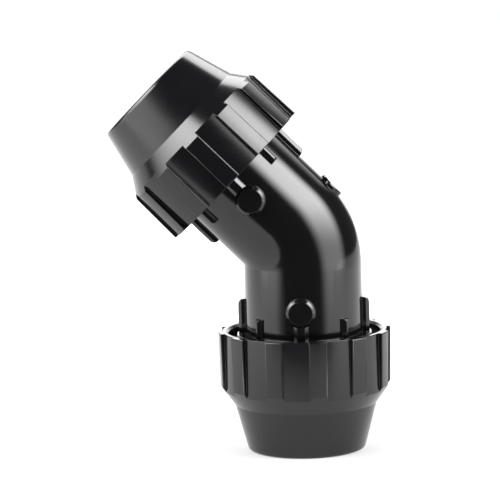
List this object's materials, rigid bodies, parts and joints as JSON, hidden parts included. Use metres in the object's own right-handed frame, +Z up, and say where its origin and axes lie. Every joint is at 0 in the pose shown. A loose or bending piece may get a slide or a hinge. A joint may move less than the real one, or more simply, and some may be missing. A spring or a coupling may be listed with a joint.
{
  "type": "pipe elbow",
  "caption": "Bent tube fitting that joins plastic pipes at a shallow angle, with a ribbed compression nut, split grip ring, thrust bush and rubber seal at each end.",
  "frame": {"origin": "middle of the shoulder that stops the pipe in the lower socket; the mouth of the lower nut, which the elbow stands on, is about 61 mm below it", "axes": "+Z up along the lower branch towards the bend; the bend lies in the XZ plane and turns the upper branch 45 degrees towards -X; +Y across the bend"},
  "size_m": [0.1343, 0.084, 0.1958],
  "materials": {
    "body_plastic": "smooth moulded black polypropylene, semi-gloss",
    "nut_plastic": "moulded black polypropylene, satin with polished edges",
    "acetal": "off-white moulded acetal, satin",
    "bush_plastic": "dark moulded polypropylene, matt",
    "rubber": "matt black nitrile rubber"
  },
  "bodies": {
    "elbow": {"elbow_body": "body_plastic", "lower_seal": "rubber", "upper_seal": "rubber"},
    "lower_bush": {"lower_thrust_bush": "bush_plastic"},
    "lower_ring": {"lower_grip_ring": "acetal"},
    "lower_nut": {"lower_nut": "nut_plastic"},
    "upper_bush": {"upper_thrust_bush": "bush_plastic"},
    "upper_ring": {"upper_grip_ring": "acetal"},
    "upper_nut": {"upper_nut": "nut_plastic"}
  },
  "joints": [
    {"name": "lower_nut_travel", "type": "slide", "parent": "elbow", "child": "lower_ring", "axis": [0, 0, -1], "range_m": [0, 0.01201]},
    {"name": "lower_nut_turn", "type": "hinge", "parent": "lower_ring", "child": "lower_nut", "pos_m": [0, 0, 0], "axis": [0, 0, -1], "range_deg": [0, 720]},
    {"name": "lower_bush_travel", "type": "slide", "parent": "elbow", "child": "lower_bush", "axis": [0, 0, -1], "range_m": [0, 0.00601]},
    {"name": "upper_nut_travel", "type": "slide", "parent": "elbow", "child": "upper_ring", "axis": [-0.7071, 0, 0.7071], "range_m": [0, 0.01201]},
    {"name": "upper_nut_turn", "type": "hinge", "parent": "upper_ring", "child": "upper_nut", "pos_m": [-0.00879, 0, 0.05121], "axis": [-0.7071, 0, 0.7071], "range_deg": [0, 720]},
    {"name": "upper_bush_travel", "type": "slide", "parent": "elbow", "child": "upper_bush", "axis": [-0.7071, 0, 0.7071], "range_m": [0, 0.00601]}
  ],
  "couplings": [
    {"joint": "lower_nut_travel", "follows": "lower_nut_turn", "m_per_rad": 0.00095493},
    {"joint": "lower_bush_travel", "follows": "lower_nut_turn", "m_per_rad": 0.00047746},
    {"joint": "upper_nut_travel", "follows": "upper_nut_turn", "m_per_rad": 0.00095493},
    {"joint": "upper_bush_travel", "follows": "upper_nut_turn", "m_per_rad": 0.00047746}
  ]
}
